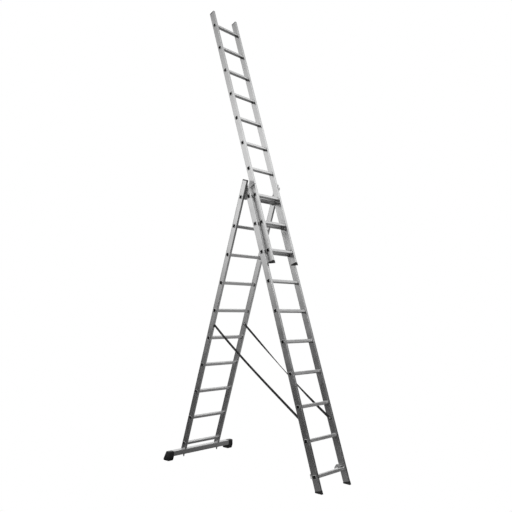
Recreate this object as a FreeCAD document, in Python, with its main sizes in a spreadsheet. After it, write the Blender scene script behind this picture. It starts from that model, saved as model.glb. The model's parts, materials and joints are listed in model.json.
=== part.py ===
import FreeCAD, Part
import math
import os

import Sketcher

# A three-section combination ladder of aluminium, opened as an A-frame with its fly section slid up.
# Frame: +Z up, floor at z = 0, X along the rungs, -Y the climbing side, origin at the bottom centre.
# Each section is drawn in its own frame: origin at the centre of its bottom rung, Z up the stiles.
# "out" is the distance in front of the rung centres, towards the section's climbing side.

DIMENSIONS = {
    "pitch": 280,  # rung to rung
    "rung_size": 30,
    "rung_corner": 7,
    "rung_wall": 1.8,
    "collar_size": 37,  # the flared collars that clamp a rung to its stiles
    "collar_lip": 1.5,
    "hole_clearance": 0.1,
    "stile_width": 23,
    "stile_depth": 60,
    "stile_chamfer": 1.5,
    "stile_recess": 0.8,
    "stile_recess_width": 44,
    "stile_groove_width": 6,
    "stile_wall": 1.4,
    "bottom_overhang": 108,
    "top_overhang": 158,
    "middle_top_overhang": 80,
    "rear_width": 464,
    "middle_width": 404,
    "fly_width": 336,
    "layer_gap": 49,  # from one section's rung centres to the next one's when nested
    "fly_raised": 7,  # rungs that the fly section stands above the middle one
    "middle_lean": 17.2,  # degrees from upright
    "rear_lean": 18.8,
    "pivot_above": 48,  # hinge pin over the top rung
    "pin_radius": 8,
    "pin_clearance": 0.06,
    "pin_end_gap": 0.4,
    "cap_thickness": 10,
    "plug_depth": 25,
    "plug_clearance": 0.3,
    "foot_back": 9.5,  # height of a stile end's back edge over the sole
    "foot_margin": 1,
    "bar_depth": 60,
    "bar_thickness": 48,
    "bar_corner": 4,
    "bar_wall": 2,
    "bar_top": 90,
    "bar_length": 820,
    "end_foot_inner": 368,
    "end_foot_outer": 424,
    "end_foot_wall": 2.5,
    "end_foot_toe": 66,
    "end_foot_lean": 14,
    "sole_height": 15,
    "sole_chamfer": 3,
    "bolt_radius": 6,
    "nut_radius": 12,
    "nut_thickness": 10,
    "bolt_below": 28,
    "bolt_into_stile": 30,
    "plate": 3,
    "hook_plate": 5,
    "guide_gap": 3,
    "guide_inner": 159,
    "guide_height": 72,
    "guide_lip_from": 24,
    "guide_lip_height": 28,
    "liner_thickness": 2.2,
    "liner_width": 5,
    "liner_height": 42,
    "hook_inset": 11,
    "rivet_radius": 4.5,
    "rivet_height": 2,
    "strap_width": 25,
    "strap_thickness": 2,
    "strap_gap": 0.3,
    "strap_bolt_radius": 9,
    "strap_bolt_height": 3,
    "strap_rear_at": 1260,
    "strap_middle_at": 425,
}
RUNGS = 10
SIDES = {"left": -1, "right": 1}

doc = FreeCAD.newDocument("ladder")
sheet = doc.addObject("Spreadsheet::Sheet", "dims")
nodes = []


class Size:
    """A number together with the expression over the sheet's cells that gives it."""

    def __init__(self, value, text):
        self.value = value
        self.text = text

    def __add__(self, other):
        other = as_size(other)
        return Size(self.value + other.value, f"({self.text} + {other.text})")

    def __sub__(self, other):
        other = as_size(other)
        return Size(self.value - other.value, f"({self.text} - {other.text})")

    def __mul__(self, other):
        other = as_size(other)
        return Size(self.value * other.value, f"({self.text} * {other.text})")

    def __truediv__(self, other):
        other = as_size(other)
        return Size(self.value / other.value, f"({self.text} / {other.text})")

    def __rsub__(self, other):
        return as_size(other) - self

    def __neg__(self):
        return Size(-self.value, f"(0 - {self.text})")


def as_size(number):
    return number if isinstance(number, Size) else Size(number, f"({number})")


def sine(angle):
    return Size(math.sin(math.radians(angle.value)), f"sin({angle.text} * 1 deg)")


def cosine(angle):
    return Size(math.cos(math.radians(angle.value)), f"cos({angle.text} * 1 deg)")


def fill_sheet():
    for row, (name, value) in enumerate(DIMENSIONS.items(), start=1):
        sheet.set(f"A{row}", name)
        sheet.set(f"B{row}", str(value))
        sheet.setAlias(f"B{row}", name)
    doc.recompute()
    return {name: Size(value, f"dims.{name}") for name, value in DIMENSIONS.items()}


d = fill_sheet()


class Section:
    """One ladder section: its width, its lean and where its frame stands."""

    def __init__(self, name, width, out, lean, base_y, base_z):
        self.name = name
        self.half = width / 2
        self.inner = self.half - d["stile_width"]
        self.out = out
        self.rotation = FreeCAD.Rotation(FreeCAD.Vector(1, 0, 0), lean.value * out)
        self.base = FreeCAD.Vector(0, base_y.value, base_z.value)

    def point(self, x, out, up):
        local = FreeCAD.Vector(x.value, out.value * self.out, up.value)
        return self.base + self.rotation.multVec(local)

    def place(self, piece, x=0, up=0):
        at = self.point(as_size(x), as_size(0), as_size(up))
        piece.Placement = FreeCAD.Placement(at, self.rotation)


# The hinge pin lies half a layer behind the rung centres of both lower sections.
top_rung = d["pitch"] * (RUNGS - 1)
pivot_up = top_rung + d["pivot_above"]
pivot_back = d["layer_gap"] / 2
half_depth = d["stile_depth"] / 2
sin_middle = sine(d["middle_lean"])
cos_middle = cosine(d["middle_lean"])
sin_rear = sine(d["rear_lean"])
cos_rear = cosine(d["rear_lean"])

# Heights of the bottom rungs: the middle feet and the stabiliser both stand on the floor.
middle_z = d["foot_back"] + half_depth * sin_middle + d["bottom_overhang"] * cos_middle
pivot_z = middle_z + pivot_up * cos_middle - pivot_back * sin_middle
rear_z = pivot_z - pivot_up * cos_rear + pivot_back * sin_rear

# How far the front soles and the stabiliser's feet reach from the hinge pin centre the whole in Y.
front_rung_y = pivot_up * sin_middle + pivot_back * cos_middle
sole_shift = (middle_z * sin_middle + half_depth + d["foot_margin"]) / cos_middle
front_reach = front_rung_y + sole_shift
rear_rung_y = pivot_up * sin_rear + pivot_back * cos_rear
bar_back_shift = (rear_z - d["bar_top"]) * sin_rear / cos_rear
rear_reach = rear_rung_y + bar_back_shift + d["end_foot_toe"]
pivot_y = (front_reach - rear_reach) / 2

middle_y = pivot_y - pivot_up * sin_middle - pivot_back * cos_middle
rear_y = pivot_y + rear_rung_y
bar_y = rear_y + bar_back_shift
fly_up = d["pitch"] * d["fly_raised"]

middle = Section("middle", d["middle_width"], -1, d["middle_lean"], middle_y, middle_z)
rear = Section("rear", d["rear_width"], 1, d["rear_lean"], rear_y, rear_z)
fly = Section(
    "fly",
    d["fly_width"],
    -1,
    d["middle_lean"],
    middle_y + fly_up * sin_middle - d["layer_gap"] * cos_middle,
    middle_z + fly_up * cos_middle + d["layer_gap"] * sin_middle,
)


def new_body(name):
    body = doc.addObject("PartDesign::Body", name)
    body.Label = name
    return body


def origin_plane(body, role):
    return next(item for item in body.Origin.OriginFeatures if item.Role == role)


def new_sketch(body, role, offset=0):
    """A sketch on one of the body's origin planes, moved along the plane's normal."""
    sketch = body.newObject("Sketcher::SketchObject", body.Name + "_sketch")
    sketch.AttachmentSupport = (origin_plane(body, role), [""])
    sketch.MapMode = "FlatFace"
    sketch.setExpression("AttachmentOffset.Base.z", as_size(offset).text)
    return sketch


def bind(sketch, kind, *args):
    """A dimension of the sketch that follows the sheet."""
    size = as_size(args[-1])
    index = sketch.addConstraint(Sketcher.Constraint(kind, *args[:-1], size.value))
    sketch.setExpression(f"Constraints[{index}]", size.text)


def draw_polygon(sketch, corners):
    corners = [(as_size(x), as_size(y)) for x, y in corners]
    points = [FreeCAD.Vector(x.value, y.value, 0) for x, y in corners]
    count = len(points)
    for i in range(count):
        sketch.addGeometry(Part.LineSegment(points[i], points[(i + 1) % count]), False)
    for i in range(count):
        sketch.addConstraint(Sketcher.Constraint("Coincident", i, 2, (i + 1) % count, 1))
    for i, (x, y) in enumerate(corners):
        bind(sketch, "DistanceX", -1, 1, i, 1, x)
        bind(sketch, "DistanceY", -1, 1, i, 1, y)
    return sketch


def draw_rounded(sketch, width, height, radius):
    """A rectangle with round corners, centred on the sketch's origin."""
    width, height, radius = as_size(width), as_size(height), as_size(radius)
    x = (width / 2 - radius).value
    y = (height / 2 - radius).value
    r = radius.value
    ends = [
        ((-x, -y - r), (x, -y - r)),
        ((x + r, -y), (x + r, y)),
        ((x, y + r), (-x, y + r)),
        ((-x - r, y), (-x - r, -y)),
    ]
    for a, b in ends:
        sketch.addGeometry(Part.LineSegment(FreeCAD.Vector(*a, 0), FreeCAD.Vector(*b, 0)), False)
    normal = FreeCAD.Vector(0, 0, 1)
    for i, (cx, cy) in enumerate([(x, -y), (x, y), (-x, y), (-x, -y)]):
        circle = Part.Circle(FreeCAD.Vector(cx, cy, 0), normal, r)
        start = math.radians(90 * i - 90)
        sketch.addGeometry(Part.ArcOfCircle(circle, start, start + math.pi / 2), False)
    for i in range(4):
        sketch.addConstraint(Sketcher.Constraint("Tangent", i, 2, 4 + i, 1))
        sketch.addConstraint(Sketcher.Constraint("Tangent", 4 + i, 2, (i + 1) % 4, 1))
        sketch.addConstraint(Sketcher.Constraint("Vertical" if i % 2 else "Horizontal", i))
    for i in (5, 6, 7):
        sketch.addConstraint(Sketcher.Constraint("Equal", 4, i))
    bind(sketch, "Radius", 4, radius)
    bind(sketch, "DistanceX", -1, 1, 5, 3, width / 2 - radius)
    bind(sketch, "DistanceY", -1, 1, 5, 3, height / 2 - radius)
    bind(sketch, "DistanceX", -1, 1, 7, 3, radius - width / 2)
    bind(sketch, "DistanceY", -1, 1, 7, 3, radius - height / 2)
    return sketch


def draw_circle(sketch, x, y, radius):
    x, y, radius = as_size(x), as_size(y), as_size(radius)
    normal = FreeCAD.Vector(0, 0, 1)
    center = FreeCAD.Vector(x.value, y.value, 0)
    index = sketch.addGeometry(Part.Circle(center, normal, radius.value), False)
    bind(sketch, "Radius", index, radius)
    bind(sketch, "DistanceX", -1, 1, index, 3, x)
    bind(sketch, "DistanceY", -1, 1, index, 3, y)
    return sketch


def pad(body, sketch, length, symmetric=False):
    feature = body.newObject("PartDesign::Pad", body.Name + "_pad")
    feature.Profile = sketch
    feature.SideType = "Symmetric" if symmetric else "One side"
    feature.setExpression("Length", as_size(length).text)
    return feature


def pocket(body, sketch, length=None, reversed_=False):
    """A cut of the given length, or right through both ways."""
    feature = body.newObject("PartDesign::Pocket", body.Name + "_pocket")
    feature.Profile = sketch
    if length is None:
        feature.Type = "ThroughAll"
        feature.SideType = "Symmetric"
    else:
        feature.Reversed = reversed_
        feature.setExpression("Length", as_size(length).text)
    return feature


def keep(piece, node):
    """Registers a finished sub-part under the name of its file."""
    piece.Label = node
    nodes.append(piece)
    return piece


def group(node, pieces):
    """Identical pieces that share a node, as separate solids."""
    compound = doc.addObject("Part::Compound", node)
    compound.Links = pieces
    return keep(compound, node)


def stile_outline():
    """The extrusion's outer profile: chamfered corners, recessed webs and a groove down each edge."""
    w = d["stile_width"] / 2
    h = half_depth
    c = d["stile_chamfer"]
    e = d["stile_recess"]
    r = d["stile_recess_width"] / 2
    g = d["stile_groove_width"] / 2
    quarter = [(w - e, as_size(0) - r), (w - e, r), (w, r), (w, h - c), (w - c, h), (g, h), (g, h - e)]
    left = [(-x, y) for x, y in reversed(quarter[1:])]
    top = quarter + left
    bottom = [(-quarter[0][0], quarter[0][1])]
    bottom += [(-w, -r), (-w, c - h), (c - w, -h), (-g, -h), (-g, e - h)]
    bottom += [(g, e - h), (g, -h), (w - c, -h), (w, c - h), (w, -r)]
    return top + bottom


def make_stile(section, side, top, bottom):
    body = new_body(f"{section.name}_stile_{side}")
    pad(body, draw_polygon(new_sketch(body, "XY_Plane", -bottom), stile_outline()), top + bottom)
    skin = d["stile_recess"] + d["stile_wall"]
    cavity_width = d["stile_width"] - skin * 2
    cavity_depth = d["stile_depth"] - skin * 2
    cavity = draw_rounded(new_sketch(body, "XY_Plane"), cavity_width, cavity_depth, 1)
    pocket(body, cavity)
    if section is rear:
        trim_rear_end(body, bottom)
    hole_size = d["rung_size"] + d["hole_clearance"] * 2
    hole_corner = d["rung_corner"] + d["hole_clearance"]
    hole = draw_rounded(new_sketch(body, "YZ_Plane"), hole_size, hole_size, hole_corner)
    cut = pocket(body, hole)
    pattern = body.newObject("PartDesign::LinearPattern", body.Name + "_rung_holes")
    pattern.Originals = [cut]
    pattern.Direction = (origin_plane(body, "Z_Axis"), [""])
    pattern.setExpression("Length", top_rung.text)
    pattern.Occurrences = RUNGS
    body.Tip = pattern
    section.place(body, (section.half - d["stile_width"] / 2) * SIDES[side])
    keep(body, body.Label)


def trim_rear_end(body, bottom):
    """The rear stiles are cut level with the top of the stabiliser bar."""
    reach = half_depth + 5
    middle_cut = (d["bar_top"] - rear_z) / cos_rear
    slope = reach * sin_rear / cos_rear
    corners = [(-reach, middle_cut + slope), (reach, middle_cut - slope)]
    corners += [(reach, -bottom - 5), (-reach, -bottom - 5)]
    pocket(body, draw_polygon(new_sketch(body, "YZ_Plane"), corners))


def make_rung(section, number):
    """A square tube whose ends are flared into a collar on each face of both stiles."""
    body = new_body(f"{section.name}_rung_{number:02d}")
    size, corner = d["rung_size"], d["rung_corner"]
    length = (section.half + d["collar_lip"]) * 2
    pad(body, draw_rounded(new_sketch(body, "YZ_Plane"), size, size, corner), length, symmetric=True)
    collar = d["collar_size"]
    collar_corner = corner + (collar - size) / 2
    thickness = d["collar_lip"] + d["stile_recess"]
    starts = [section.half - d["stile_recess"], section.inner - d["collar_lip"]]
    collars = []
    for start in starts:
        ring = draw_rounded(new_sketch(body, "YZ_Plane", start), collar, collar, collar_corner)
        collars.append(pad(body, ring, thickness))
    mirrored = body.newObject("PartDesign::Mirrored", body.Name + "_collars")
    mirrored.Originals = collars
    mirrored.MirrorPlane = (origin_plane(body, "YZ_Plane"), [""])
    body.Tip = mirrored
    bore = size - d["rung_wall"] * 2
    pocket(body, draw_rounded(new_sketch(body, "YZ_Plane"), bore, bore, corner - d["rung_wall"]))
    section.place(body, up=d["pitch"] * (number - 1))
    keep(body, body.Label)


def plug_size():
    skin = d["stile_recess"] + d["stile_wall"] + d["plug_clearance"]
    return d["stile_width"] - skin * 2, d["stile_depth"] - skin * 2


def make_top_caps(section):
    """Plastic plugs with a flat head, one in each stile's top end."""
    caps = []
    for side, sign in SIDES.items():
        body = new_body(f"{section.name}_top_cap_{side}")
        top = top_rung + d["top_overhang"]
        head = draw_rounded(new_sketch(body, "XY_Plane", top), d["stile_width"], d["stile_depth"], 2)
        pad(body, head, d["cap_thickness"])
        plug = draw_rounded(new_sketch(body, "XY_Plane", top - d["plug_depth"]), *plug_size(), 1)
        pad(body, plug, d["plug_depth"])
        section.place(body, (section.half - d["stile_width"] / 2) * sign)
        caps.append(body)
    group(f"{section.name}_top_caps", caps)


def make_feet(section):
    """Plastic shoes with a level sole, wedge shaped under the leaning stiles."""
    feet = []
    back = half_depth + d["foot_margin"]
    sole = -middle_z / cos_middle
    slope = back * sin_middle / cos_middle
    end = -d["bottom_overhang"]
    for side, sign in SIDES.items():
        body = new_body(f"{section.name}_foot_{side}")
        corners = [(back, end), (back, sole + slope), (-back, sole - slope), (-back, end)]
        shoe = draw_polygon(new_sketch(body, "YZ_Plane"), corners)
        pad(body, shoe, d["stile_width"] + d["foot_margin"] * 2, symmetric=True)
        plug = draw_rounded(new_sketch(body, "XY_Plane", end), *plug_size(), 1)
        pad(body, plug, d["plug_depth"])
        section.place(body, (section.half - d["stile_width"] / 2) * sign)
        feet.append(body)
    group(f"{section.name}_feet", feet)


def make_stabiliser():
    """The cross bar under the rear stiles, its two end feet and its bolts."""
    bar_z = d["bar_top"] - d["bar_thickness"] / 2
    center = FreeCAD.Vector(0, bar_y.value, bar_z.value)
    bar = new_body("stabiliser_bar")
    outline = draw_rounded(
        new_sketch(bar, "YZ_Plane"), d["bar_depth"], d["bar_thickness"], d["bar_corner"]
    )
    pad(bar, outline, d["bar_length"], symmetric=True)
    bore = draw_rounded(
        new_sketch(bar, "YZ_Plane"),
        d["bar_depth"] - d["bar_wall"] * 2,
        d["bar_thickness"] - d["bar_wall"] * 2,
        d["bar_corner"] - d["bar_wall"],
    )
    pocket(bar, bore)
    bolt_x = rear.half - d["stile_width"] / 2
    holes = new_sketch(bar, "XY_Plane")
    for sign in SIDES.values():
        draw_circle(holes, bolt_x * sign, 0, d["bolt_radius"] + 0.5)
    pocket(bar, holes)
    bar.Placement = FreeCAD.Placement(center, FreeCAD.Rotation())
    keep(bar, "stabiliser_bar")
    for side, sign in SIDES.items():
        make_end_foot(side, sign, center, bar_z)
    bolts = []
    for side, sign in SIDES.items():
        bolts.append(make_bar_bolt(side, bolt_x * sign))
    group("stabiliser_bolts", bolts)


def make_end_foot(side, sign, center, bar_z):
    """A black boot over each end of the bar, which flares backwards to its sole."""
    body = new_body(f"stabiliser_foot_{side}")
    half = d["bar_depth"] / 2
    wall = d["end_foot_wall"]
    top = d["bar_thickness"] / 2 + wall
    toe = d["end_foot_toe"]
    under = -d["bar_thickness"] / 2 - wall
    heel = half + wall - d["end_foot_lean"]
    chamfer = d["sole_chamfer"]
    corners = [(-half - wall, top), (half + wall, top)]
    corners += [(toe, d["sole_height"] - bar_z), (toe, chamfer - bar_z), (toe - chamfer, -bar_z)]
    corners += [(chamfer - heel, -bar_z), (-heel, chamfer - bar_z), (-half - wall, under)]
    inner = d["end_foot_inner"]
    length = d["end_foot_outer"] - inner
    start = inner if sign > 0 else -d["end_foot_outer"]
    pad(body, draw_polygon(new_sketch(body, "YZ_Plane", start), corners), length)
    slack = d["plug_clearance"] * 2
    socket = draw_rounded(
        new_sketch(body, "YZ_Plane", inner * sign),
        d["bar_depth"] + slack,
        d["bar_thickness"] + slack,
        d["bar_corner"],
    )
    depth = d["bar_length"] / 2 - inner + d["plug_clearance"]
    pocket(body, socket, depth, reversed_=sign > 0)
    body.Placement = FreeCAD.Placement(center, FreeCAD.Rotation())
    keep(body, body.Label)


def make_bar_bolt(side, x):
    """A bolt up through the bar into the stile, with its nut and thread end below the bar."""
    body = new_body(f"stabiliser_bolt_{side}")
    under = d["bar_top"] - d["bar_thickness"]
    below = d["bolt_below"]
    shank = draw_circle(new_sketch(body, "XY_Plane", under - below), 0, 0, d["bolt_radius"])
    pad(body, shank, below + d["bar_thickness"] + d["bolt_into_stile"])
    nut_sketch = new_sketch(body, "XY_Plane", under - d["nut_thickness"])
    radius = d["nut_radius"]
    corners = []
    for i in range(6):
        angle = as_size(60 * i)
        corners.append((radius * cosine(angle), radius * sine(angle)))
    pad(body, draw_polygon(nut_sketch, corners), d["nut_thickness"])
    body.Placement = FreeCAD.Placement(FreeCAD.Vector(x.value, bar_y.value, 0), FreeCAD.Rotation())
    return body


def flat_plate(name, section, x, thickness, outline, holes=()):
    """A plate across X: the outline is a list of (out, up) corners in the section's frame."""
    body = new_body(name)
    corners = [(as_size(out) * section.out, up) for out, up in outline]
    pad(body, draw_polygon(new_sketch(body, "YZ_Plane", x), corners), thickness)
    for out, up, radius in holes:
        hole = draw_circle(new_sketch(body, "YZ_Plane"), as_size(out) * section.out, up, radius)
        pocket(body, hole)
    section.place(body)
    return body


def outer_start(face, thickness, sign):
    """Where a plate starts in X, if it lies on the inner side of a face towards X = 0."""
    return face - thickness if sign > 0 else -face


def make_hinge():
    """Steel plates in the gap between the rear and middle stiles, turning on a stout pin."""
    plate = d["plate"]
    rear_low = top_rung + d["collar_size"] / 2 + 3
    rear_outline = [
        (20, rear_low),
        (20, top_rung + 140),
        (-20, top_rung + 140),
        (-36, top_rung + 116),
        (-50, pivot_up),
        (-48, top_rung - 16),
        (-21, top_rung - 16),
        (-21, rear_low),
    ]
    bracket_top = top_rung + d["middle_top_overhang"]
    middle_outline = [
        (24, rear_low),
        (24, bracket_top),
        (-34, bracket_top),
        (-46, pivot_up + 12),
        (-46, pivot_up - 12),
        (-34, rear_low),
    ]
    pins = []
    for side, sign in SIDES.items():
        x = outer_start(rear.inner, plate, sign)
        hole = (-pivot_back, pivot_up, d["pin_radius"] + d["pin_clearance"])
        name = f"rear_hinge_plate_{side}"
        keep(flat_plate(name, rear, x, plate, rear_outline, [hole]), name)
        name = f"middle_hinge_plate_{side}"
        x = middle.half if sign > 0 else -middle.half - plate
        hole = (-pivot_back, pivot_up, d["pin_radius"])
        keep(flat_plate(name, middle, x, plate, middle_outline, [hole]), name)
        pin = new_body(f"hinge_pin_{side}")
        length = rear.inner - middle.half - d["pin_end_gap"]
        start = middle.half if sign > 0 else -middle.half - length
        circle = draw_circle(new_sketch(pin, "YZ_Plane", start), pivot_back, pivot_up, d["pin_radius"])
        pad(pin, circle, length)
        middle.place(pin)
        pins.append(pin)
    group("hinge_pins", pins)


def make_guides():
    """Bent steel guides on the middle stiles' tops that hold the fly's stiles, lined with plastic."""
    plate = d["plate"]
    base = top_rung + d["middle_top_overhang"]
    inner = fly.half + d["guide_gap"]
    front = d["layer_gap"] + half_depth + d["collar_lip"]
    top = base + d["guide_height"]
    edge = d["guide_inner"]
    liner = d["liner_thickness"]
    pads = []
    for side, sign in SIDES.items():
        body = new_body(f"guide_bracket_{side}")
        near, far = inner * sign, middle.half * sign
        foot = [(near, -26), (far, -26), (far, 22), (near, 22)]
        pad(body, draw_polygon(new_sketch(body, "XY_Plane", base), foot), plate)
        start = inner if sign > 0 else -inner - plate
        upright = [(4, base), (-front - plate, base + 20), (-front - plate, top)]
        upright += [(-26, top), (4, base + 30)]
        pad(body, draw_polygon(new_sketch(body, "YZ_Plane", start), upright), plate)
        tip = edge * sign
        lip = [(tip, -front - plate), (near, -front - plate), (near, -front), (tip, -front)]
        lip_sketch = new_sketch(body, "XY_Plane", base + d["guide_lip_from"])
        pad(body, draw_polygon(lip_sketch, lip), d["guide_lip_height"])
        middle.place(body)
        keep(body, body.Label)
        for i, (out, up) in enumerate(((21, 16), (72, 26))):
            strip = new_body(f"guide_pad_{side}_{i}")
            low, high = base + up, base + up + d["liner_height"]
            x = inner - liner if sign > 0 else -inner
            outline = [(-out, low), (-out - d["liner_width"], low)]
            outline += [(-out - d["liner_width"], high), (-out, high)]
            pad(strip, draw_polygon(new_sketch(strip, "YZ_Plane", x), outline), liner)
            middle.place(strip)
            pads.append(strip)
    group("guide_pads", pads)


def hook_outline(peak):
    """A claw that drops over the next section's rung, one layer gap behind this section's own."""
    slot_near = 15.8 - d["layer_gap"]
    slot_far = -15.8 - d["layer_gap"]
    back = slot_far - 6
    roof = 15.6
    return [
        (12, 21),
        (12, 30),
        (-28, peak),
        (-44, peak),
        (back, 22),
        (back, -6),
        (back + 3, -12),
        (slot_far - 2, -12),
        (slot_far, -6),
        (slot_far, roof),
        (slot_near, roof),
        (slot_near, -10),
        (slot_near + 3, -13),
        (-20, -13),
        (-20, 21),
    ]


def make_hooks(section, peak, inset):
    hooks = []
    for side, sign in SIDES.items():
        face = section.inner - inset
        x = outer_start(face, d["hook_plate"], sign)
        body = flat_plate(f"{section.name}_hook_{side}", section, x, d["hook_plate"], hook_outline(peak))
        if inset.value > 0:
            spacer = ((10, 21), (10, 30), (-28, 30), (-28, 21))
            block = [(as_size(out) * section.out, up) for out, up in spacer]
            start = face if sign > 0 else -section.inner
            pad(body, draw_polygon(new_sketch(body, "YZ_Plane", start), block), inset)
        hooks.append(body)
    group(f"{section.name}_hooks", hooks)


def button(name, section, face, direction, out, up, radius, height):
    """A round head that stands on a face across X."""
    body = new_body(name)
    start = face if direction > 0 else face - height
    head = draw_circle(new_sketch(body, "YZ_Plane", start), as_size(out) * section.out, up, radius)
    pad(body, head, height)
    section.place(body)
    return body


def make_fixings():
    """Rivets of the hooks, and the fly's bolts and stop studs."""
    radius = d["rivet_radius"]
    rise = d["rivet_height"]
    middle_heads = []
    fly_heads = []
    for side, sign in SIDES.items():
        for section, heads in ((middle, middle_heads), (fly, fly_heads)):
            inset = d["hook_inset"] if section is middle else as_size(0)
            hook_face = (section.inner - inset - d["hook_plate"]) * sign
            for i, out in enumerate((4, -22)):
                name = f"{section.name}_hook_rivet_{side}_{i}"
                spot = (out, 25.5 if out > 0 else 23)
                heads.append(button(name, section, hook_face, -sign, *spot, radius - 0.8, rise))
        recess = (fly.half - d["stile_recess"]) * sign
        fly_heads.append(button(f"fly_bolt_{side}", fly, recess, sign, 0, d["pitch"] * 2 - 34, radius, 1.2))
        for i, up in enumerate((40, 98)):
            at = d["pitch"] * 7 + 90 + up
            spot = (fly.inner * sign, -sign, 2, at)
            fly_heads.append(button(f"fly_stud_{side}_{i}", fly, *spot, radius, rise))
    group("middle_fixings", middle_heads)
    group("fly_fixings", fly_heads)


def strap_ends(sign):
    """The bolted ends of a strap, at the middle of the webbing."""
    inset = d["strap_thickness"] / 2 + d["strap_gap"]
    rear_end = rear.point((rear.inner - inset) * sign, as_size(-10), d["strap_rear_at"])
    middle_end = middle.point((middle.inner - inset) * sign, as_size(0), d["strap_middle_at"])
    return rear_end, middle_end


def make_strap(side, sign):
    """Flat webbing that stops the A-frame from spreading, straight as it hangs taut."""
    rear_end, middle_end = strap_ends(sign)
    run = FreeCAD.Vector(0, middle_end.y - rear_end.y, middle_end.z - rear_end.z)
    length = run.Length
    run.normalize()
    across = FreeCAD.Vector(0, -run.z, run.y) * (DIMENSIONS["strap_width"] / 2)
    through = FreeCAD.Vector(DIMENSIONS["strap_thickness"] / 2, 0, 0)
    overlap, flat_rear, flat_middle = 16, 60, 90
    stations = [(-overlap, rear_end.x), (flat_rear, rear_end.x)]
    stations += [(length - flat_middle, middle_end.x), (length + overlap, middle_end.x)]
    wires = []
    for along, x in stations:
        center = FreeCAD.Vector(x, rear_end.y, rear_end.z) + run * along
        ring = [across + through, across - through, -across - through, -across + through]
        points = [center + offset for offset in ring]
        wires.append(Part.makePolygon(points + points[:1]))
    shape = Part.makeLoft(wires, True, True)
    strap = doc.addObject("Part::Feature", f"strap_{side}")
    strap.Shape = shape
    keep(strap, f"strap_{side}")


def make_strap_bolts():
    """Domed bolts that clamp each strap end to its stile."""
    radius = d["strap_bolt_radius"]
    rise = d["strap_bolt_height"]
    gap = d["strap_thickness"] + d["strap_gap"] * 2
    rear_bolts = []
    middle_bolts = []
    for side, sign in SIDES.items():
        face = (rear.inner - gap) * sign
        rear_bolts.append(
            button(f"strap_rear_bolt_{side}", rear, face, -sign, -10, d["strap_rear_at"], radius, rise)
        )
        face = (middle.inner - gap) * sign
        middle_bolts.append(
            button(f"strap_middle_bolt_{side}", middle, face, -sign, 0, d["strap_middle_at"], radius, rise)
        )
    group("strap_rear_bolts", rear_bolts)
    group("strap_middle_bolts", middle_bolts)


def check_and_export():
    doc.recompute()
    failed = [o.Label for o in doc.Objects if {"Invalid", "Error"} & set(o.State)]
    if failed:
        raise RuntimeError(f"these objects failed: {failed}")
    for piece in nodes:
        if piece.Shape.isNull() or not piece.Shape.isValid() or not piece.Shape.Solids:
            raise RuntimeError(f"{piece.Label} has no valid shape")
    os.makedirs("parts", exist_ok=True)
    for piece in nodes:
        piece.Shape.exportStep(os.path.join("parts", piece.Label + ".step"))


for side_name in SIDES:
    make_stile(rear, side_name, top_rung + d["top_overhang"], as_size(95))
    make_stile(middle, side_name, top_rung + d["middle_top_overhang"], d["bottom_overhang"])
    make_stile(fly, side_name, top_rung + d["top_overhang"], d["bottom_overhang"])
for ladder in (rear, middle, fly):
    for rung_number in range(1, RUNGS + 1):
        make_rung(ladder, rung_number)
make_top_caps(rear)
make_top_caps(fly)
make_feet(middle)
make_feet(fly)
make_stabiliser()
make_hinge()
make_guides()
make_hooks(middle, 44, d["hook_inset"])
make_hooks(fly, 30, as_size(0))
make_fixings()
for side_name, side_sign in SIDES.items():
    make_strap(side_name, side_sign)
make_strap_bolts()
check_and_export()
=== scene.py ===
"""Looks of the extension ladder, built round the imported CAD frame."""

import json
import math

import bmesh
import bpy
from mathutils import Matrix, Vector


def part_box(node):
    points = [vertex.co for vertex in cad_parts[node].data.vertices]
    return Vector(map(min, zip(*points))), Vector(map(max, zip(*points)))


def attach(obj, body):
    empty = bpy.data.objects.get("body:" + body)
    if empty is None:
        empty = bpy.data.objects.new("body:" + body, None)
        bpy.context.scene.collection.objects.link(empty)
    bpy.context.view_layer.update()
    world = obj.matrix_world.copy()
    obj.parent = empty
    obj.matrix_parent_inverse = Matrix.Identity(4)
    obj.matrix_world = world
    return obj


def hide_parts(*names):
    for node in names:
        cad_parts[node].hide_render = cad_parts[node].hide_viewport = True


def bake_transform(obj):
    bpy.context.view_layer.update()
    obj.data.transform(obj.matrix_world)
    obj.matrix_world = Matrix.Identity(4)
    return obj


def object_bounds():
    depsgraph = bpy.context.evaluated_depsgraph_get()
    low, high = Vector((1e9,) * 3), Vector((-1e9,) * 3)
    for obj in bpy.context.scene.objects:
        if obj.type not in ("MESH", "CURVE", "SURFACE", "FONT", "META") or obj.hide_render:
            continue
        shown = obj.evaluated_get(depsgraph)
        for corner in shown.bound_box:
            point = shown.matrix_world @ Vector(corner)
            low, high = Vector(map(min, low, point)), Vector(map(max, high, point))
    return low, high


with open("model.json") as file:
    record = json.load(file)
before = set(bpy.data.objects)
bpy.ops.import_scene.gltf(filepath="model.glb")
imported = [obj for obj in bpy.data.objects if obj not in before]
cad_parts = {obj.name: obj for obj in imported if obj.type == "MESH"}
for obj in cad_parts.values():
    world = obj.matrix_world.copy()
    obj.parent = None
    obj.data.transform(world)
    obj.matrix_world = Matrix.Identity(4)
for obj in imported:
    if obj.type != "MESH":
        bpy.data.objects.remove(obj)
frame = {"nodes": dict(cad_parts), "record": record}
cad_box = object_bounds()
nodes = frame["nodes"]
MM = 0.001
X_AXIS = Vector((1, 0, 0))
SIDES = {"left": -1, "right": 1}
RUNGS = 10
TOP_OVERHANG = 158 * MM  # stile over the top rung's centre, on the rear and fly sections
BOTTOM_OVERHANG = 108 * MM  # stile below the bottom rung's centre

# ---------------------------------------------------------------- section frames


def centre(node):
    """The middle of a CAD node's box."""
    low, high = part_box(node)
    return (low + high) / 2


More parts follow.
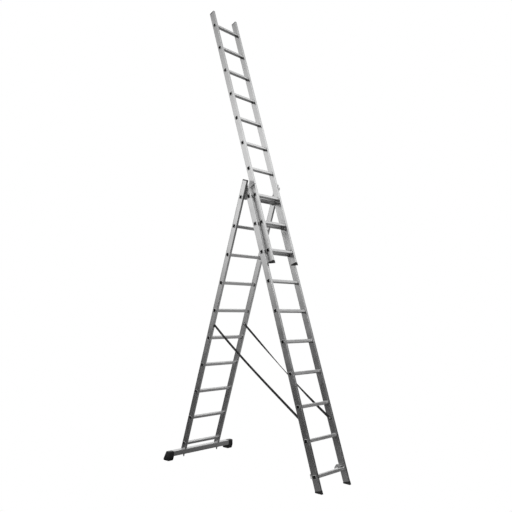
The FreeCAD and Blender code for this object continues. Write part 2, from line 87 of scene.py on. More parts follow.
class Section:
    """Axes of one ladder section: up the stiles, out to its climbing side, X along the rungs."""

    def __init__(self, name, out_sign):
        self.name = name
        self.body = f"{name}_section"
        first = centre(f"{name}_rung_01")
        last = centre(f"{name}_rung_{RUNGS}")
        self.base = Vector((0, first.y, first.z))
        self.up = (last - first).normalized()
        self.pitch = (last - first).length / (RUNGS - 1)
        if out_sign < 0:
            self.out = Vector((0, -self.up.z, self.up.y))
        else:
            self.out = Vector((0, self.up.z, -self.up.y))
        low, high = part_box(f"{name}_stile_right")
        self.half = high.x
        self.inner = low.x

    def at(self, x, out, up):
        """A point from X, and from the distances out and up from the bottom rung's centre."""
        return self.base + Vector((x, 0, 0)) + self.out * out + self.up * up


middle = Section("middle", -1)
rear = Section("rear", 1)
fly = Section("fly", -1)
sections = {"middle": middle, "rear": rear, "fly": fly}

# ---------------------------------------------------------------- materials


def new_material(name):
    """A material with its node tree and its main shader."""
    mat = bpy.data.materials.new(name)
    mat.use_nodes = True
    tree = mat.node_tree
    return mat, tree, tree.nodes["Principled BSDF"]


def add(tree, kind, **inputs):
    """A new node with its inputs set by name."""
    node = tree.nodes.new(kind)
    for key, value in inputs.items():
        node.inputs[key].default_value = value
    return node


def scaled_coordinates(tree, scale, rotation=(0, 0, 0)):
    coordinates = tree.nodes.new("ShaderNodeTexCoord")
    mapping = tree.nodes.new("ShaderNodeMapping")
    mapping.inputs["Scale"].default_value = scale
    mapping.inputs["Rotation"].default_value = rotation
    tree.links.new(coordinates.outputs["Object"], mapping.inputs["Vector"])
    return mapping.outputs["Vector"]


def noise(tree, vector, scale, detail=4.0, rough=0.6):
    node = add(tree, "ShaderNodeTexNoise", Scale=scale, Detail=detail, Roughness=rough)
    tree.links.new(vector, node.inputs["Vector"])
    return node.outputs["Fac"]


def ramp(tree, fac, stops):
    """Grey against a factor, from pairs of place and value."""
    node = tree.nodes.new("ShaderNodeValToRGB")
    elements = node.color_ramp.elements
    while len(elements) < len(stops):
        elements.new(0.5)
    for element, (place, value) in zip(elements, stops):
        element.position = place
        element.color = (value, value, value, 1)
    tree.links.new(fac, node.inputs["Fac"])
    return node.outputs["Color"]


def arithmetic(tree, operation, *values):
    node = tree.nodes.new("ShaderNodeMath")
    node.operation = operation
    for socket, value in zip(node.inputs, values):
        if isinstance(value, (int, float)):
            socket.default_value = value
        else:
            tree.links.new(value, socket)
    return node.outputs[0]


def bump(tree, shader, height, distance, strength=1.0):
    node = add(tree, "ShaderNodeBump", Distance=distance, Strength=strength)
    tree.links.new(height, node.inputs["Height"])
    tree.links.new(node.outputs["Normal"], shader.inputs["Normal"])


def aluminium(name, tone, lean, rough):
    """Extruded aluminium: fine die lines along the stiles, cloudy handling marks."""
    mat, tree, shader = new_material(name)
    lines = noise(tree, scaled_coordinates(tree, (420, 420, 3), (lean, 0, 0)), 1.0, 3.0)
    clouds = noise(tree, scaled_coordinates(tree, (1, 1, 1)), 9.0, 6.0)
    mix = tree.nodes.new("ShaderNodeMix")
    mix.inputs["Factor"].default_value = 0.5
    tree.links.new(lines, mix.inputs["A"])
    tree.links.new(clouds, mix.inputs["B"])
    colour = ramp(tree, mix.outputs["Result"], [(0.3, tone * 0.94), (0.7, tone * 1.05)])
    tree.links.new(colour, shader.inputs["Base Color"])
    roughness = ramp(tree, clouds, [(0.3, rough - 0.04), (0.75, rough + 0.06)])
    tree.links.new(roughness, shader.inputs["Roughness"])
    shader.inputs["Metallic"].default_value = 0.97
    bump(tree, shader, lines, 0.00008, 0.1)
    return mat


def steel(name, tone, rough, spangle):
    """Galvanised or zinc plated steel, mottled by its crystals."""
    mat, tree, shader = new_material(name)
    cells = add(tree, "ShaderNodeTexVoronoi", Scale=spangle)
    tree.links.new(scaled_coordinates(tree, (1, 1, 1)), cells.inputs["Vector"])
    grey = tree.nodes.new("ShaderNodeRGBToBW")
    tree.links.new(cells.outputs["Color"], grey.inputs["Color"])
    colour = ramp(tree, grey.outputs["Val"], [(0.1, tone * 0.82), (0.9, tone * 1.12)])
    tree.links.new(colour, shader.inputs["Base Color"])
    roughness = ramp(tree, grey.outputs["Val"], [(0.1, rough - 0.05), (0.9, rough + 0.1)])
    tree.links.new(roughness, shader.inputs["Roughness"])
    shader.inputs["Metallic"].default_value = 0.9
    return mat


def plastic(name, tone, rough):
    """Moulded plastic or rubber with a fine pebbled grain."""
    mat, tree, shader = new_material(name)
    grain = noise(tree, scaled_coordinates(tree, (1, 1, 1)), 900.0, 3.0)
    dust = noise(tree, scaled_coordinates(tree, (1, 1, 1)), 30.0, 5.0)
    colour = ramp(tree, dust, [(0.35, tone * 0.8), (0.8, tone * 1.7)])
    tree.links.new(colour, shader.inputs["Base Color"])
    roughness = ramp(tree, dust, [(0.3, rough - 0.08), (0.8, rough + 0.1)])
    tree.links.new(roughness, shader.inputs["Roughness"])
    bump(tree, shader, grain, 0.0002, 0.6)
    return mat


def webbing(name, tone):
    """Woven nylon: fine cross ribs along the strap from its own UV map."""
    mat, tree, shader = new_material(name)
    uv = tree.nodes.new("ShaderNodeTexCoord")
    mapping = tree.nodes.new("ShaderNodeMapping")
    mapping.inputs["Scale"].default_value = (14, 650, 1)
    tree.links.new(uv.outputs["UV"], mapping.inputs["Vector"])
    checker = add(tree, "ShaderNodeTexWave", Scale=1.0, Distortion=0.6, Detail=1.0)
    checker.bands_direction = "DIAGONAL"
    tree.links.new(mapping.outputs["Vector"], checker.inputs["Vector"])
    colour = ramp(tree, checker.outputs["Fac"], [(0.2, tone * 0.6), (0.8, tone * 1.6)])
    tree.links.new(colour, shader.inputs["Base Color"])
    shader.inputs["Roughness"].default_value = 0.75
    shader.inputs["Sheen Weight"].default_value = 0.3
    bump(tree, shader, checker.outputs["Fac"], 0.0004, 0.7)
    return mat


MIDDLE_LEAN = math.atan2(middle.up.y, middle.up.z)
REAR_LEAN = math.atan2(rear.up.y, rear.up.z)
materials = {
    "middle_alu": aluminium("stile_front", 0.53, MIDDLE_LEAN, 0.28),
    "rear_alu": aluminium("stile_rear", 0.55, REAR_LEAN, 0.28),
    "rung_alu": aluminium("rungs", 0.62, 0.0, 0.38),
    "bar_alu": aluminium("bar", 0.5, 0.0, 0.3),
    "steel": steel("galvanised", 0.72, 0.38, 160.0),
    "zinc": steel("zinc", 0.6, 0.25, 400.0),
    "dark_steel": steel("bolts", 0.05, 0.45, 400.0),
    "black": plastic("black_plastic", 0.012, 0.5),
    "grey": plastic("grey_plastic", 0.12, 0.5),
    "web": webbing("webbing", 0.02),
}
SLOT_MATERIALS = {
    "stile_aluminium": "middle_alu",
    "rung_aluminium": "rung_alu",
    "bar_aluminium": "bar_alu",
    "galvanised_steel": "steel",
    "zinc_steel": "zinc",
    "black_plastic": "black",
    "grey_plastic": "grey",
    "webbing": "web",
}


def paint_cad():
    """Gives every CAD node the material of its slot."""
    for entry in frame["record"]["subparts"]:
        name = entry["node"]
        key = SLOT_MATERIALS[entry["material_slot"]]
        if name.startswith("rear_stile"):
            key = "rear_alu"
        slots = nodes[name].data.materials
        slots.clear()
        slots.append(materials[key])


paint_cad()

# ---------------------------------------------------------------- mesh helpers


def add_piece(name, bm, keys, body, replaced=(), sharp=35):
    """Turns a bmesh into a finished piece that rides on its body."""
    bmesh.ops.recalc_face_normals(bm, faces=bm.faces)
    mesh = bpy.data.meshes.new(name)
    bm.to_mesh(mesh)
    bm.free()
    for key in keys:
        mesh.materials.append(materials[key])
    mesh.polygons.foreach_set("use_smooth", [True] * len(mesh.polygons))
    mesh.set_sharp_from_angle(angle=math.radians(sharp))
    return link_piece(name, mesh, body, replaced)


def link_piece(name, mesh, body, replaced=(), place=None):
    """Puts a mesh in the scene as a piece of its body, in place of the CAD nodes it replaces."""
    piece = bpy.data.objects.new(name, mesh)
    bpy.context.collection.objects.link(piece)
    if place is not None:
        piece.matrix_world = place
        bpy.context.view_layer.update()
    if body:
        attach(piece, body)
    if replaced:
        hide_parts(*replaced)
    return piece


def bridge(bm, rings, material=0, closed=True):
    """Joins rings of equally many points into a skin, with a face over each open end."""
    loops = [[bm.verts.new(point) for point in ring] for ring in rings]
    count = len(loops[0])
    for low, high in zip(loops, loops[1:]):
        for i in range(count):
            face = bm.faces.new((low[i], low[(i + 1) % count], high[(i + 1) % count], high[i]))
            face.material_index = material
    if closed:
        bm.faces.new(loops[0]).material_index = material
        bm.faces.new(list(reversed(loops[-1]))).material_index = material
    return loops


def round_corners(outline, radius, steps=4):
    """The outline with each corner drawn as a short curve."""
    corners = [Vector(corner) for corner in outline]
    points = []
    for i, here in enumerate(corners):
        before = corners[i - 1]
        after = corners[(i + 1) % len(corners)]
        cut_in = min(radius, (before - here).length * 0.45)
        cut_out = min(radius, (after - here).length * 0.45)
        start = here + (before - here).normalized() * cut_in
        end = here + (after - here).normalized() * cut_out
        for k in range(steps + 1):
            t = k / steps
            points.append(start.lerp(here, t).lerp(here.lerp(end, t), t))
    return points


def prism(bm, place, outline, ends, soft, material=0):
    """A solid across X between two ends; place() puts each X and pair of the outline in space."""
    rings = [[place(x, *point) for point in outline] for x in ends]
    loops = bridge(bm, rings, material)
    edges = []
    for loop in loops:
        for i, vert in enumerate(loop):
            edges.append(bm.edges.get((vert, loop[(i + 1) % len(loop)])))
    bmesh.ops.bevel(
        bm, geom=edges, offset=soft, segments=2, profile=0.6, affect="EDGES", clamp_overlap=True
    )


def lathe(bm, centre, axis, profile, segments, material=0):
    """A turned solid: the profile is pairs of radius and height along the axis."""
    side = axis.orthogonal().normalized()
    other = axis.cross(side)
    rings = []
    for radius, height in profile:
        ring = []
        for i in range(segments):
            angle = 2 * math.pi * i / segments
            spoke = side * math.cos(angle) + other * math.sin(angle)
            ring.append(centre + axis * height + spoke * radius)
        rings.append(ring)
    bridge(bm, rings, material)


def rounded_box_ring(width, depth, radius, steps=5):
    """Points round a rectangle with rounded corners."""
    half_w, half_d = width / 2, depth / 2
    corners = [(-half_w, -half_d), (half_w, -half_d), (half_w, half_d), (-half_w, half_d)]
    return round_corners(corners, radius, steps)


# ---------------------------------------------------------------- rungs

RUNG = 15 * MM  # half the square tube
RUNG_CORNER = 7 * MM
COLLAR = 18.4 * MM  # half the bead that clamps the tube to its stile
BORE = 13.2 * MM  # half the tube's opening
RECESS = 0.8 * MM
LIP = 1.5 * MM
TREAD_RIBS = 6
TREAD_DEPTH = 0.45 * MM


def rung_ring(x, half, corner, rib=0.0):
    """Points round a square tube whose sides are flat or finely ribbed for grip."""
    flat = half - corner
    quarter = []
    for k in range(TREAD_RIBS * 2 + 1):
        side = flat * (k / TREAD_RIBS - 1)
        quarter.append((side, half - (rib if k % 2 else 0.0)))
    for k in range(1, 4):
        angle = math.pi / 2 - k * math.pi / 8
        quarter.append((flat + corner * math.cos(angle), flat + corner * math.sin(angle)))
    points = []
    for turn in range(4):
        for out, up in quarter:
            for _ in range(turn):
                out, up = up, -out
            points.append(Vector((x, out, up)))
    return points


def rung_mesh(section):
    """One rung with its treads, the beads that clamp it to the stiles, and its open ends, their
    hollows lined black as painted shade.
    """
    inner, half = section.inner, section.half
    plain = RUNG_CORNER
    bead = RUNG_CORNER + COLLAR - RUNG
    outside = [
        (inner - 22 * MM, RUNG, plain, TREAD_DEPTH),
        (inner - 18 * MM, RUNG, plain, 0),
        (inner - 11 * MM, RUNG, plain, 0),
        (inner - 9 * MM, RUNG + 0.5 * MM, plain + 0.5 * MM, 0),
        (inner - 3 * MM, COLLAR - 0.5 * MM, bead - 0.5 * MM, 0),
        (inner - LIP / 2, COLLAR, bead, 0),
        (inner + RECESS, COLLAR - 0.3 * MM, bead, 0),
        (inner + RECESS, RUNG, plain, 0),
        (half - RECESS, RUNG, plain, 0),
        (half - RECESS, COLLAR - 0.3 * MM, bead, 0),
        (half + LIP / 2, COLLAR, bead, 0),
        (half + LIP, COLLAR - 1.2 * MM, bead - 1 * MM, 0),
        (half + LIP, BORE + 1.2 * MM, plain - 1 * MM, 0),
    ]
    bore = [
        (half + LIP * 0.6, BORE, plain - 1.8 * MM, 0),
        (half - 2 * MM, BORE, plain - 1.8 * MM, 0),
        (half - 7 * MM, BORE, plain - 1.8 * MM, 0),
    ]
    bm = bmesh.new()
    for sign in SIDES.values():
        shell = [rung_ring(sign * x, *rest) for x, *rest in outside]
        hole = [rung_ring(sign * x, *rest) for x, *rest in bore]
        bridge(bm, [rung_ring(0, RUNG, plain, TREAD_DEPTH)] + shell, closed=False)
        # The bore's wall and end face take the black material: painted shade inside the open
        # tube.
        loops = bridge(bm, [shell[-1]] + hole, material=1, closed=False)
        bm.faces.new(loops[-1]).material_index = 1
    bmesh.ops.remove_doubles(bm, verts=bm.verts, dist=0.00001)
    bmesh.ops.recalc_face_normals(bm, faces=bm.faces)
    mesh = bpy.data.meshes.new(f"{section.name}_rungs")
    bm.to_mesh(mesh)
    bm.free()
    mesh.materials.append(materials["rung_alu"])
    # Second slot: black, the painted shade inside the open ends.
    mesh.materials.append(materials["black"])
    mesh.polygons.foreach_set("use_smooth", [True] * len(mesh.polygons))
    mesh.set_sharp_from_angle(angle=math.radians(40))
    return mesh


def make_rungs():
    """Every rung of the three sections, from one mesh a section."""
    for section in sections.values():
        mesh = rung_mesh(section)
        axes = Matrix((X_AXIS, section.out, section.up)).transposed().to_4x4()
        for number in range(1, RUNGS + 1):
            where = section.at(0, 0, section.pitch * (number - 1))
            place = Matrix.Translation(where) @ axes
            name = f"{section.name}_rung_{number:02d}"
            link_piece(f"{name}_tube", mesh, section.body, (name,), place)


make_rungs()

# ---------------------------------------------------------------- plastic ends

STILE_WIDTH = middle.half - middle.inner
STILE_DEPTH = 60 * MM
CAP = 10 * MM  # the plug's height over the stile
SHOE_GROOVES = 5
SHOE_RIBS = 4
BOOT_LEAN = 14 * MM  # how far the boot's front leans back to its sole
BOOT_TOP = 20 * MM  # how far its level top reaches behind the bar's middle
BOOT_RIBS = 4


def middles(section):
    """The X of both stiles' middles."""
    return [sign * (section.half - STILE_WIDTH / 2) for sign in SIDES.values()]


def make_caps(section):
    """Moulded plugs with a soft crown and a shallow groove where they meet the stile."""
    node = f"{section.name}_top_caps"
    top = section.pitch * (RUNGS - 1) + TOP_OVERHANG
    layers = [
        (-24 * MM, 5.6 * MM),
        (-0.5 * MM, 5.6 * MM),
        (-0.5 * MM, 0.6 * MM),
        (0.8 * MM, 0.2 * MM),
        (CAP - 4 * MM, 0.2 * MM),
        (CAP - 1.4 * MM, 1.0 * MM),
        (CAP - 0.2 * MM, 3.0 * MM),
        (CAP, 6.0 * MM),
    ]
    bm = bmesh.new()
    for x in middles(section):
        rings = []
        for up, inset in layers:
            outline = rounded_box_ring(STILE_WIDTH - inset * 2, STILE_DEPTH - inset * 2, 4 * MM)
            rings.append([section.at(x + p.x, p.y, top + up) for p in outline])
        bridge(bm, rings)
    add_piece(node + "_moulded", bm, ["black"], section.body, (node,))


def make_shoes(section, node):
    """Wedge shaped shoes: a collar round the stile's end, side ribs and a grooved level sole."""
    slope = -middle.up.y / middle.up.z
    shoe_back = STILE_DEPTH / 2 + 0.8 * MM
    sole = -middle.base.z / middle.up.z
    end = -BOTTOM_OVERHANG
    bottom = []
    steps = SHOE_GROOVES * 4
    for k in range(steps + 1):
        out = shoe_back - 2 * shoe_back * k / steps
        notch = 2.2 * MM if k % 4 in (2, 3) else 0.0
        bottom.append((out, sole + out * slope + notch))
    outline = [(-shoe_back, end + 1 * MM), (shoe_back, end + 1 * MM)] + bottom
    outline = [Vector(corner) for corner in outline]
    bm = bmesh.new()
    for x in middles(section):
        wide = STILE_WIDTH / 2 + 0.6 * MM
        prism(bm, section.at, outline, (x - wide, x + wide), 0.8 * MM)
        for side in (-1, 1):
            face = x + side * (wide - 0.2 * MM)
            edge = face + side * 0.6 * MM
            for k in range(SHOE_RIBS):
                out = -20 * MM + k * 13 * MM
                foot = sole + out * slope + 4 * MM
                head = end - 2 * MM
                rib = [(out, foot), (out + 4 * MM, foot), (out + 4 * MM, head), (out, head)]
                prism(bm, section.at, round_corners(rib, 1 * MM, 2), (face, edge), 0.2 * MM)
        deep, tall = 22 * MM, end + 20 * MM
        plug = [(-deep, end), (deep, end), (deep, tall), (-deep, tall)]
        prism(bm, section.at, [Vector(p) for p in plug], (x - 7 * MM, x + 7 * MM), 0.5 * MM)
    add_piece(node + "_moulded", bm, ["black"], section.body, (node,))


def in_space(x, y, z):
    """The place() of a prism whose outline is already in Y and Z."""
    return Vector((x, y, z))


def make_boot(side):
    """The rubber boot over an end of the stabiliser bar, with ribs across its sole."""
    node = f"stabiliser_foot_{side}"
    low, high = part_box(node)
    bar_low, bar_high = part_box("stabiliser_bar")
    bar_y = (bar_low.y + bar_high.y) / 2
    front, back, top = low.y, high.y, high.z
    under = BOOT_LEAN + 2 * MM
    outline = [
        (front + 1 * MM, top - 1 * MM),
        (bar_y + BOOT_TOP, top - 1 * MM),
        (back, 14 * MM),
        (back, 1 * MM),
        (front + under, 1 * MM),
        (front + 1 * MM, bar_low.z - 3 * MM),
    ]
    outline = round_corners(outline, 7 * MM, 5)
    ends = sorted((low.x, high.x))
    bm = bmesh.new()
    prism(bm, in_space, outline, (ends[0] + 0.5 * MM, ends[1] - 0.5 * MM), 2.5 * MM)
    for k in range(BOOT_RIBS):
        x = ends[0] + (ends[1] - ends[0]) * (k + 0.6) / (BOOT_RIBS + 0.2)
        rib = [
            (front + under + 3 * MM, 0.0),
            (back - 4 * MM, 0.0),
            (back - 4 * MM, 4 * MM),
            (front + under + 3 * MM, 4 * MM),
        ]
        prism(bm, in_space, [Vector(p) for p in rib], (x, x + 5 * MM), 0.4 * MM)
    add_piece(node + "_moulded", bm, ["black"], "rear_section", (node,))


make_caps(rear)
make_caps(fly)
make_shoes(middle, "middle_feet")
make_shoes(fly, "fly_feet")
for side_name in SIDES:
    make_boot(side_name)

# ---------------------------------------------------------------- straps

STRAP_WIDTH = 25 * MM
STRAP_THICK = 2 * MM
STRAP_STEPS = 90
STRAP_PAST_BOLT = 0.011  # webbing past each bolt, as a part of the distance between them
STRAP_SAG = {"left": 21 * MM, "right": 23 * MM}
STRAP_TWIST = {"left": math.radians(3), "right": math.radians(42)}
STRAP_BOLTS = {"rear": (-10 * MM, 1260 * MM), "middle": (0.0, 425 * MM)}  # out and up


def strap_line(side, sign, t):
    """The strap's middle line: flat on each stile at its ends and sagging between them."""
    inset = 1.3 * MM
    first = rear.at(sign * (rear.inner - inset), *STRAP_BOLTS["rear"])
    last = middle.at(sign * (middle.inner - inset), *STRAP_BOLTS["middle"])
    along = first.lerp(last, t)
    blend = min(max((t - 0.07) / 0.84, 0), 1)
    along.x = first.x + (last.x - first.x) * blend * blend * (3 - 2 * blend)
    droop = max(t, 0) * max(1 - t, 0) * 4
    return along + Vector((0, 0, -STRAP_SAG[side] * droop))


def make_webbing(side, sign):
    """Flat webbing with thicker woven edges, hanging a little slack and slightly twisted."""
    whole = 1 + 2 * STRAP_PAST_BOLT
    ts = [whole * k / STRAP_STEPS - STRAP_PAST_BOLT for k in range(STRAP_STEPS + 1)]
    centres = [strap_line(side, sign, t) for t in ts]
    half = STRAP_WIDTH / 2
    thin = STRAP_THICK / 2 * 0.75
    thick = STRAP_THICK / 2
    edge = [(0.8 * MM, thick), (3 * MM, thick), (4 * MM, thin)]
    one_side = [(-half, 0)] + [(a - half, b) for a, b in edge] + [(0, thin)]
    one_side += [(half - a, b) for a, b in reversed(edge)]
    section_points = one_side + [(-a, -b) for a, b in one_side]
    rings = []
    lengths = [0.0]
    for k, centre_point in enumerate(centres):
        ahead = centres[min(k + 1, STRAP_STEPS)]
        behind = centres[max(k - 1, 0)]
        run = (ahead - behind).normalized()
        if k:
            lengths.append(lengths[-1] + (centre_point - centres[k - 1]).length)
        through = (X_AXIS - run * X_AXIS.dot(run)).normalized()
        across = run.cross(through)
        free = min(max((ts[k] - 0.06) / 0.87, 0), 1)
        turn = STRAP_TWIST[side] * math.sin(math.pi * free) ** 2
        through, across = (
            through * math.cos(turn) + across * math.sin(turn),
            across * math.cos(turn) - through * math.sin(turn),
        )
        rings.append([centre_point + across * a + through * b for a, b in section_points])
    bm = bmesh.new()
    loops = bridge(bm, rings)
    uv = bm.loops.layers.uv.new("weave")
    place = {}
    for loop, length in zip(loops, lengths):
        for vert, (a, b) in zip(loop, section_points):
            place[vert] = (a, length)
    for face in bm.faces:
        for corner in face.loops:
            corner[uv].uv = place[corner.vert]
    node = f"strap_{side}"
    piece = add_piece(node + "_webbing", bm, ["web"], None, (node,), sharp=50)
    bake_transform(piece)


for side_name, side_sign in SIDES.items():
    make_webbing(side_name, side_sign)

# ---------------------------------------------------------------- fixings

DOME = [(1.0, 0.0), (1.0, 0.25), (0.92, 0.6), (0.7, 0.88), (0.35, 1.0)]
NUT = 12 * MM
BOLT_BELOW_BAR = 28 * MM
BOLT_THREADS = 28
BOLT_INTO_STILE = 70 * MM
HOOK_INSET = 11 * MM  # the middle section's hooks stand this far in from its stiles


def dome(bm, centre_point, axis, radius, height):
    """A rivet's head."""
    profile = [(r * radius, h * height) for r, h in DOME]
    lathe(bm, centre_point, axis, [(radius, -0.5 * MM)] + profile, 20)


def socket_bolt(bm, centre_point, axis, radius, height):
    """A button headed bolt on a washer, with its hexagon socket drawn as a thin black disc on the
    head: painted shade in the socket.
    """
    washer = [(radius, 0), (radius, 1 * MM), (radius * 0.9, 1.2 * MM)]
    lathe(bm, centre_point, axis, washer, 28)
    outside = [(r * radius * 0.8, 1.0 * MM + h * (height - 1 * MM)) for r, h in DOME]
    lathe(bm, centre_point, axis, outside, 24)
    # The black hexagon stands in for the socket's hollow: painted shade, not a black part.
    socket_shade_radius = radius * 0.28
    socket = [(socket_shade_radius, height - 0.3 * MM), (socket_shade_radius, height + 0.05 * MM)]
    lathe(bm, centre_point, axis, socket, 6, material=1)


def make_strap_bolts():
    """The bolts that hold the straps' ends to the stiles."""
    for name, (out, up) in STRAP_BOLTS.items():
        section = sections[name]
        bm = bmesh.new()
        for sign in SIDES.values():
            face = section.at(sign * (section.inner - 2.6 * MM), out, up)
            socket_bolt(bm, face, X_AXIS * -sign, 9 * MM, 3 * MM)
        node = f"strap_{name}_bolts"
        # The second material, black, paints the shade in each bolt's socket.
        add_piece(node + "_turned", bm, ["zinc", "black"], section.body, (node,))


def make_bar_bolts():
    """Threaded bolts up through the bar, each with a washer and a nut under it."""
    low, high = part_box("stabiliser_bar")
    bar_y = (low.y + high.y) / 2
    up = Vector((0, 0, 1))
    bm = bmesh.new()
    for x in middles(rear):
        foot = Vector((x, bar_y, low.z))
        thread = []
        for k in range(BOLT_THREADS):
            thread.append(((5.9 if k % 2 else 5.2) * MM, k * MM - BOLT_BELOW_BAR))
        lathe(bm, foot, up, thread + [(6 * MM, 0), (6 * MM, BOLT_INTO_STILE)], 20)
        nut = [(NUT * 0.86, -10 * MM), (NUT, -9 * MM), (NUT, -1.6 * MM), (NUT * 0.9, -0.8 * MM)]
        lathe(bm, foot, up, nut, 6)
        lathe(bm, foot, up, [(NUT, -0.8 * MM), (NUT, 0.0)], 28)
    node = "stabiliser_bolts"
    add_piece(node + "_turned", bm, ["dark_steel"], "rear_section", (node,))


def make_rivets():
    """Rivets through the hooks, and the fly section's guide bolts and ringed stop studs."""
    for section, node in ((middle, "middle_fixings"), (fly, "fly_fixings")):
        bm = bmesh.new()
        inset = HOOK_INSET if section is middle else 0
        for sign in SIDES.values():
            face = sign * (section.inner - inset - 5 * MM)
            for out, up in ((4 * MM, 25.5 * MM), (-22 * MM, 23 * MM)):
                dome(bm, section.at(face, out, up), X_AXIS * -sign, 3.7 * MM, 2 * MM)
            if section is fly:
                recess = sign * (section.half - RECESS)
                dome(bm, section.at(recess, 0, 526 * MM), X_AXIS * sign, 4.5 * MM, 1.2 * MM)
                for up, ring in ((2090 * MM, 4.5 * MM), (2148 * MM, 2.4 * MM)):
                    spot = section.at(sign * section.inner, 2 * MM, up)
                    collar = [(ring, 0), (ring, 0.8 * MM), (ring * 0.8, 1 * MM)]
                    lathe(bm, spot, X_AXIS * -sign, collar, 24)
                    stud = [(2 * MM, 0), (2 * MM, 1.6 * MM), (1.4 * MM, 2 * MM)]
                    lathe(bm, spot, X_AXIS * -sign, stud, 16, material=1)
        add_piece(node + "_turned", bm, ["zinc", "black"], section.body, (node,))


make_strap_bolts()
make_bar_bolts()
make_rivets()

# ---------------------------------------------------------------- edges of the pressed plates


def soften(name, width):
    """Rounds the sharp edges of a pressed plate that stays as the CAD drew it."""
    plate = nodes[name]
    weld = plate.modifiers.new("weld", "WELD")
    weld.merge_threshold = 0.00001
    edge = plate.modifiers.new("soft_edges", "BEVEL")
    edge.width = width
    edge.segments = 2
    edge.limit_method = "ANGLE"
    edge.harden_normals = True
    edge.angle_limit = math.radians(50)


for side_name in SIDES:
    for stem in ("rear_hinge_plate_", "middle_hinge_plate_", "guide_bracket_"):
        soften(stem + side_name, 0.7 * MM)
for plate_name in ("middle_hooks", "fly_hooks", "guide_pads", "hinge_pins"):
    soften(plate_name, 0.5 * MM)

# ---------------------------------------------------------------- floor, camera, light


def camera_or_light(tree, seen, unseen):
    """Shows one shader to the camera and lights the object with the other."""
    path = tree.nodes.new("ShaderNodeLightPath")
    mix = tree.nodes.new("ShaderNodeMixShader")
    tree.links.new(path.outputs["Is Camera Ray"], mix.inputs["Fac"])
    tree.links.new(unseen.outputs[0], mix.inputs[1])
    tree.links.new(seen.outputs[0], mix.inputs[2])
    return mix


BACKDROP = 1.0
FLOOR_HALF_SIZE = 30
FLOOR_PATCH = (4.5, -2.0, 0)  # middle of the lit part of the floor
FLOOR_REACH = 20
CAMERA_PLACE = (-3.922, -3.805, 1.403)
CAMERA_AZIMUTH = math.radians(-44.51)
CAMERA_ELEVATION = math.radians(-5.32)
# Bearing from +Y towards +X in degrees, strength, and the rise and fall against height.
GLOWS = [
    (-45, 1.4, [(-0.005, 0), (0.13, 0.95), (0.3, 1), (0.55, 0.1)]),
    (135, 1.5, [(0.28, 0), (0.5, 1), (0.62, 1), (0.85, 0)]),
    (45, 1.1, [(0.0, 0), (0.12, 1), (0.7, 1), (0.9, 0.3)]),
    (-135, 1.9, [(0.36, 0.1), (0.5, 1), (0.7, 1), (0.92, 0.3)]),
]
AMBIENT = 0.01


def make_floor():
    """A plain white floor, as bright as the backdrop, that throws little light back up."""
    size = FLOOR_HALF_SIZE
    corners = [(-size, -size, 0), (size, -size, 0), (size, size, 0), (-size, size, 0)]
    mesh = bpy.data.meshes.new("floor")
    mesh.from_pydata(corners, [], [(0, 1, 2, 3)])
    floor = bpy.data.objects.new("floor", mesh)
    bpy.context.collection.objects.link(floor)
    mat, tree, shader = new_material("floor")
    shader.inputs["Base Color"].default_value = (0.02, 0.02, 0.02, 1)
    distance = tree.nodes.new("ShaderNodeVectorMath")
    distance.operation = "DISTANCE"
    place = tree.nodes.new("ShaderNodeTexCoord")
    tree.links.new(place.outputs["Object"], distance.inputs[0])
    distance.inputs[1].default_value = FLOOR_PATCH
    reach = arithmetic(tree, "DIVIDE", distance.outputs["Value"], FLOOR_REACH)
    glimmer = ramp(tree, reach, [(0.1, 0.45), (0.2, 0.25), (0.3, 0.015), (1.0, 0.01)])
    tree.links.new(glimmer, shader.inputs["Emission Color"])
    shader.inputs["Emission Strength"].default_value = 1.0
    shader.inputs["Roughness"].default_value = 0.9
    glow = add(tree, "ShaderNodeEmission", Color=(1, 1, 1, 1), Strength=BACKDROP)
    mix = camera_or_light(tree, glow, shader)
    tree.links.new(mix.outputs[0], tree.nodes["Material Output"].inputs["Surface"])
    mesh.materials.append(mat)
    floor.location.z = cad_box[0].z


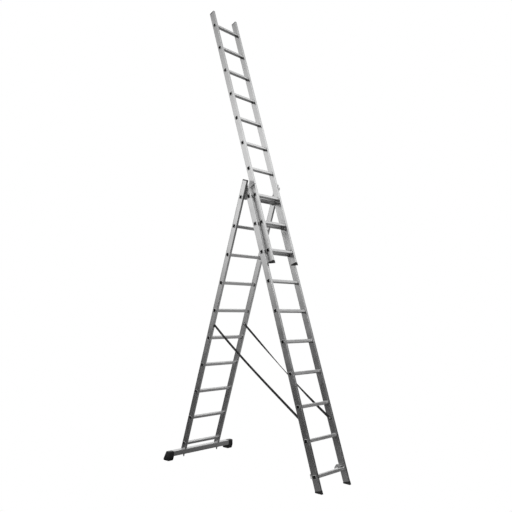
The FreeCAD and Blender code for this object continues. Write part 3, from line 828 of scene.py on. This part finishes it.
def make_camera():
    """The camera stands at the front left at chest height and looks slightly up."""
    data = bpy.data.cameras.new("camera")
    camera = bpy.data.objects.new("camera", data)
    bpy.context.collection.objects.link(camera)
    level = math.cos(CAMERA_ELEVATION)
    east, north = math.sin(CAMERA_AZIMUTH) * level, math.cos(CAMERA_AZIMUTH) * level
    back = Vector((east, -north, math.sin(CAMERA_ELEVATION)))
    camera.location = CAMERA_PLACE
    camera.rotation_mode = "QUATERNION"
    camera.rotation_quaternion = (-back).to_track_quat("-Z", "Y")
    data.sensor_width = 36
    data.lens = 40.2
    data.shift_x = 0.0228
    data.shift_y = 0.0157
    data.clip_end = 200
    bpy.context.scene.camera = camera


def glow_towards(tree, azimuth, stops):
    """A soft patch of light on the world: its bearing, and its strength against height."""
    coordinates = tree.nodes.new("ShaderNodeTexCoord")
    split = tree.nodes.new("ShaderNodeSeparateXYZ")
    tree.links.new(coordinates.outputs["Generated"], split.inputs["Vector"])
    x, y, z = (split.outputs[axis] for axis in "XYZ")
    east = arithmetic(tree, "MULTIPLY", x, math.sin(azimuth))
    north = arithmetic(tree, "MULTIPLY", y, math.cos(azimuth))
    facing = arithmetic(tree, "MAXIMUM", arithmetic(tree, "ADD", east, north), 0.0)
    x_squared, y_squared, facing_squared = (
        arithmetic(tree, "MULTIPLY", value, value) for value in (x, y, facing)
    )
    level_squared = arithmetic(tree, "ADD", x_squared, y_squared)
    spread = arithmetic(tree, "DIVIDE", facing_squared, level_squared)
    height = arithmetic(tree, "MULTIPLY_ADD", z, 0.5, 0.5)
    strength = ramp(tree, height, [((place + 1) / 2, value) for place, value in stops])
    return arithmetic(tree, "MULTIPLY", spread, strength)


def make_world():
    """White to the camera. For the light: soft patches low at the left and high all round."""
    world = bpy.data.worlds.new("studio")
    bpy.context.scene.world = world
    world.use_nodes = True
    tree = world.node_tree
    seen = tree.nodes["Background"]
    seen.inputs["Color"].default_value = (1, 1, 1, 1)
    total = AMBIENT
    for bearing, strength, stops in GLOWS:
        patch = glow_towards(tree, math.radians(bearing), stops)
        total = arithmetic(tree, "MULTIPLY_ADD", patch, strength, total)
    unseen = tree.nodes.new("ShaderNodeBackground")
    tree.links.new(total, unseen.inputs["Color"])
    mix = camera_or_light(tree, seen, unseen)
    tree.links.new(mix.outputs[0], tree.nodes["World Output"].inputs["Surface"])


make_floor()
make_camera()
make_world()
bpy.context.scene.view_settings.view_transform = "Standard"
